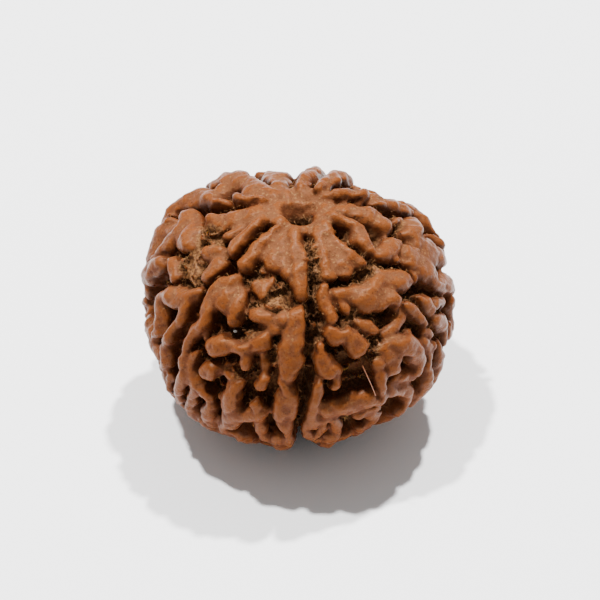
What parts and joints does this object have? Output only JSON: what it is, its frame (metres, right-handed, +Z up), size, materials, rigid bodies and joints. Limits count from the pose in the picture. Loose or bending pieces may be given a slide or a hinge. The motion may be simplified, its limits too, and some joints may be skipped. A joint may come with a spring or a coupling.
{
  "type": "rudraksha seed",
  "caption": "Woody stone of a rudraksha fruit: a flattened ball of raised, knobbly ridges in seven faces, with a stalk pit in the crown and a small flat spot to rest on.",
  "frame": {"origin": "middle of the flat spot that the seed rests on, under the stone's axis", "axes": "+Z runs up the stone's axis through the stalk pit, -Y is the side that the picture shows"},
  "size_m": [0.0253, 0.0254, 0.0206],
  "materials": {
    "seed": "waxy orange-brown ridges, dark brown crevices, semi-gloss"
  },
  "bodies": {
    "root": {"seed": "seed"}
  },
  "joints": []
}
